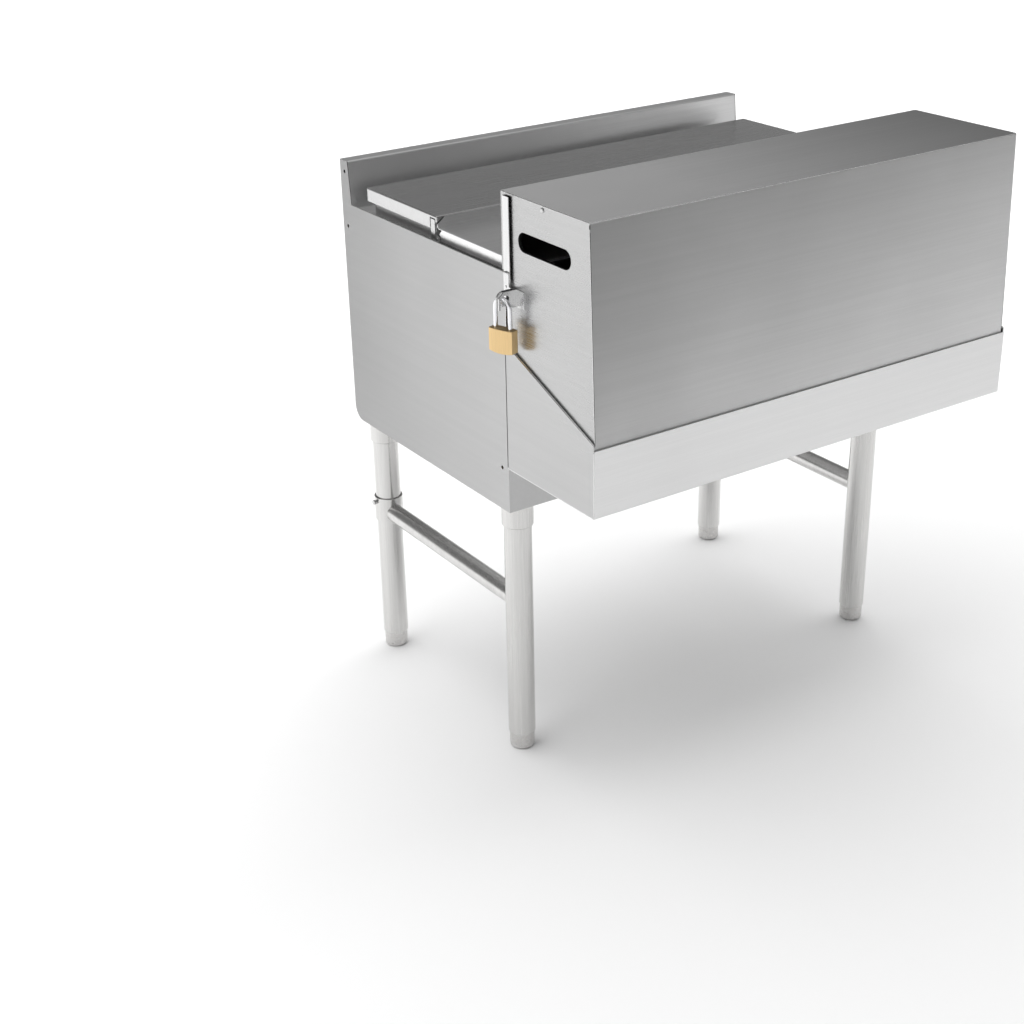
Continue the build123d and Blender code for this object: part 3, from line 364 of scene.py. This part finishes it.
shell_lo, shell_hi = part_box("cover_shell")
tray_lo, tray_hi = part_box("rail_tray")
top_y = shell_lo.y + COVER_LEAN + SHEET
foot_y = shell_lo.y + SHEET
knee_z = shell_lo.z + KNEE_RISE
for side, sign in (("left", -1), ("right", 1)):
    panel_lo, panel_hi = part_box(f"side_panel_{side}")
    plate_lo, plate_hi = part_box(f"rail_end_{side}")
    keeper_lo, keeper_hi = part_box(f"lock_keeper_{side}")
    guide_lo, guide_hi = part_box(f"guide_channel_{side}")
    near = ((shell_lo, shell_hi), (tray_lo, tray_hi), (panel_lo, panel_hi), (guide_lo, guide_hi))
    cover_x, tray_x, panel_x, guide_x = (low.x if sign < 0 else high.x for low, high in near)
    # ground welds between the cover's ends and its wrap
    seam(f"cover_seam_front_{side}", "rail_cover", "bright_steel",
         (cover_x, top_y, shell_hi.z - 0.004), (cover_x, foot_y, knee_z), SEAM_R)
    seam(f"cover_seam_low_{side}", "rail_cover", "bright_steel",
         (cover_x, foot_y, knee_z), (cover_x, foot_y, shell_lo.z + 0.001), SEAM_R)
    # painted shadow: a black strip drawn as the shadow line between the end sheet and the wrap
    line_x = cover_x + sign * 0.0002
    seam(f"cover_shadow_line_{side}", "rail_cover", "rubber",
         (line_x, top_y - SHEET, shell_hi.z - 0.012), (line_x, foot_y - SHEET, knee_z), SHADOW_R)
    seam(f"cover_seam_top_{side}", "rail_cover", "bright_steel",
         (cover_x, top_y + 0.002, shell_hi.z - SHEET),
         (cover_x, shell_hi.y - 0.003, shell_hi.z - SHEET), SEAM_R)
    # open bend relief at the cover's top front corner, drawn as a black strip: painted shade inside the gap
    relief_y = top_y - 0.0003
    seam(f"corner_relief_shade_{side}", "rail_cover", "rubber",
         (cover_x, relief_y, shell_hi.z - 0.0095), (cover_x, relief_y, shell_hi.z - 0.0025), RELIEF_R)
    # rail ends
    seam(f"rail_seam_front_{side}", "cabinet", "bright_steel",
         (tray_x, tray_lo.y + SHEET, tray_lo.z + 0.003),
         (tray_x, tray_lo.y + SHEET, plate_lo.z + 0.095), SEAM_R)
    edge_x = tray_x - sign * SHEET / 2
    seam(f"rail_edge_{side}", "cabinet", "bright_steel",
         (edge_x, plate_lo.y + SHORT, plate_lo.z + SLOPE_RISE),
         (edge_x, plate_hi.y - SHORT, plate_hi.z), SEAM_R)
    # hem turned in along the rail end's sloping edge
    hem_x = tray_x - sign * (SHEET + HEM_R)
    seam(f"rail_hem_{side}", "cabinet", "bright_steel",
         (hem_x, plate_lo.y + SHORT, plate_lo.z + SLOPE_RISE),
         (hem_x, plate_hi.y - SHORT, plate_hi.z), HEM_R)
    # dark strip of painted shade along the gap between the rail and the cabinet
    joint_y = panel_lo.y - SHEET / 2
    seam(f"rail_gap_shade_{side}", "cabinet", "rubber",
         (tray_x, joint_y, tray_lo.z + 0.002), (tray_x, joint_y, plate_hi.z - 0.002), GAP_SHADE_R)
    # hemmed rim of the side panel
    rim_x, rim_z = panel_x - sign * SHEET, panel_lo.z + RIM_RISE
    seam(f"rim_edge_{side}", "cabinet", "bright_steel",
         (rim_x, panel_lo.y + 0.001, rim_z), (rim_x, panel_hi.y - SPLASH_DEPTH, rim_z), SEAM_R)
    # pin and rivets of the keeper's strap
    strap_x = guide_x + sign * SHEET
    seam(f"keeper_pin_{side}", "cabinet", "bright_steel",
         (strap_x, keeper_hi.y - 0.0125, keeper_hi.z), (strap_x, keeper_hi.y + SHORT, keeper_hi.z), PIN_R)
    for spot, rise in (("low", 0.010), ("high", 0.022)):
        dome(f"keeper_rivet_{spot}_{side}", "cabinet", "fasteners",
             (strap_x, keeper_hi.y - 0.006, keeper_lo.z + rise), (sign, 0, 0), RIVET_R, RIVET_H)
# long bright edges of the cover's top and the rail's lip
fold_y, fold_z = shell_lo.y + COVER_LEAN + 0.0008, shell_hi.z - 0.0008
seam("cover_edge_top", "rail_cover", "bright_steel",
     (shell_lo.x + 0.001, fold_y, fold_z), (shell_hi.x - 0.001, fold_y, fold_z), SEAM_R)
lip_y, lip_z = tray_lo.y + SHEET, tray_lo.z + LIP_RISE
seam("lip_edge", "cabinet", "bright_steel",
     (tray_lo.x + 0.001, lip_y, lip_z), (tray_hi.x - 0.001, lip_y, lip_z), SEAM_R)

SOCKET_R, SOCKET_BEAD = 0.0240, 0.0012
CROSS_R, CROSS_BEAD = 0.0152, 0.0011
CROSS_SADDLE = -0.0055  # the bead follows the leg's round face
SOAK = 0.0008           # how far a bead's middle lies inside the tube's end
base_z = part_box("bottom_pan")[0].z - 0.0004
for corner in ("front_left", "front_right", "rear_left", "rear_right"):
    leg_lo, leg_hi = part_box(f"leg_{corner}")
    middle = (leg_lo + leg_hi) / 2
    weld(f"socket_weld_{corner}", "cabinet", (middle.x, middle.y, base_z), (0, 0, 1), SOCKET_R, SOCKET_BEAD)
for side in ("left", "right"):
    rail_lo, rail_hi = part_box(f"cross_rail_{side}")
    middle = (rail_lo + rail_hi) / 2
    for end, y, facing in (("front", rail_lo.y + SOAK, 1), ("rear", rail_hi.y - SOAK, -1)):
        weld(f"rail_weld_{end}_{side}", "cabinet", (middle.x, y, middle.z), (0, facing, 0),
             CROSS_R, CROSS_BEAD, CROSS_SADDLE)


# ---------------------------------------------------------------- camera
YAW, PITCH, ROLL = math.radians(33.07), math.radians(25.60), math.radians(-1.34)
EYE = (-1.55881, -1.93673, 1.45676)
LENS, SENSOR = 59.35, 36
forward = Vector((math.sin(YAW) * math.cos(PITCH), math.cos(YAW) * math.cos(PITCH), -math.sin(PITCH)))
level = Vector((math.cos(YAW), -math.sin(YAW), 0))
upward = level.cross(forward)
right = level * math.cos(ROLL) + upward * math.sin(ROLL)
up = -level * math.sin(ROLL) + upward * math.cos(ROLL)
camera = bpy.data.objects.new("camera", bpy.data.cameras.new("camera"))
bpy.context.scene.collection.objects.link(camera)
camera.data.lens = LENS
camera.data.sensor_width = SENSOR
turned = Matrix((right, up, -forward)).transposed().to_4x4()
camera.matrix_world = Matrix.Translation(EYE) @ turned
bpy.context.scene.camera = camera

# ---------------------------------------------------------------- floor and light
FLOOR_HALF = 30
floor_mesh = bpy.data.meshes.new("floor")
bm = bmesh.new()
bmesh.ops.create_grid(bm, x_segments=1, y_segments=1, size=FLOOR_HALF)
bm.to_mesh(floor_mesh)
bm.free()
floor = bpy.data.objects.new("floor", floor_mesh)
bpy.context.scene.collection.objects.link(floor)
pale, _, pale_shader = new_material("floor", (0.9, 0.9, 0.9), 0.0, 0.9)
pale_shader.inputs["Specular IOR Level"].default_value = 0.0
paint(floor, pale)

# brightness of the studio by height, from straight down (0) to straight up (1)
STUDIO_FOOT, STUDIO_TOP = 0.9, 0.7
STUDIO_BAND = ((0.05, 0.6), (0.14, 0.27), (0.35, 0.20), (0.65, 0.22), (0.85, 0.5))
world = bpy.data.worlds.new("studio")
bpy.context.scene.world = world
world.use_nodes = True
wt = world.node_tree
sky = wt.nodes["Background"]
coord = wt.nodes.new("ShaderNodeTexCoord")
split = wt.nodes.new("ShaderNodeSeparateXYZ")
wt.links.new(coord.outputs["Generated"], split.inputs[0])
heights = wt.nodes.new("ShaderNodeValToRGB")
heights.color_ramp.elements[0].position = 0.0
heights.color_ramp.elements[0].color = (STUDIO_FOOT, STUDIO_FOOT, STUDIO_FOOT, 1)
heights.color_ramp.elements[1].position = 1.0
heights.color_ramp.elements[1].color = (STUDIO_TOP, STUDIO_TOP, STUDIO_TOP, 1)
for spot, tone in STUDIO_BAND:
    stop = heights.color_ramp.elements.new(spot)
    stop.color = (tone, tone, tone, 1)
wt.links.new(split.outputs["Z"], heights.inputs["Fac"])
wt.links.new(heights.outputs["Color"], sky.inputs["Color"])
sky.inputs["Strength"].default_value = 1.0


def softbox(name, spot, target, size, watts):
    """Rectangular area light that faces the target."""
    light = bpy.data.objects.new(name, bpy.data.lights.new(name, "AREA"))
    light.data.shape = "RECTANGLE"
    light.data.size, light.data.size_y = size
    light.data.energy = watts
    bpy.context.scene.collection.objects.link(light)
    light.location = spot
    light.rotation_mode = "QUATERNION"
    light.rotation_quaternion = (Vector(target) - Vector(spot)).to_track_quat("-Z", "Y")
    return light


overhead = softbox("overhead", (2.5, 5.6, 6.0), (2.5, 5.6, 0), (26, 15), 1850)
overhead.visible_glossy = False  # lights the floor and shapes the shadow without showing in the steel
softbox("left", (-4.5, -0.5, 2.4), (-0.3, 0, 0.5), (3, 2.4), 20)

bpy.context.scene.view_settings.view_transform = "Standard"
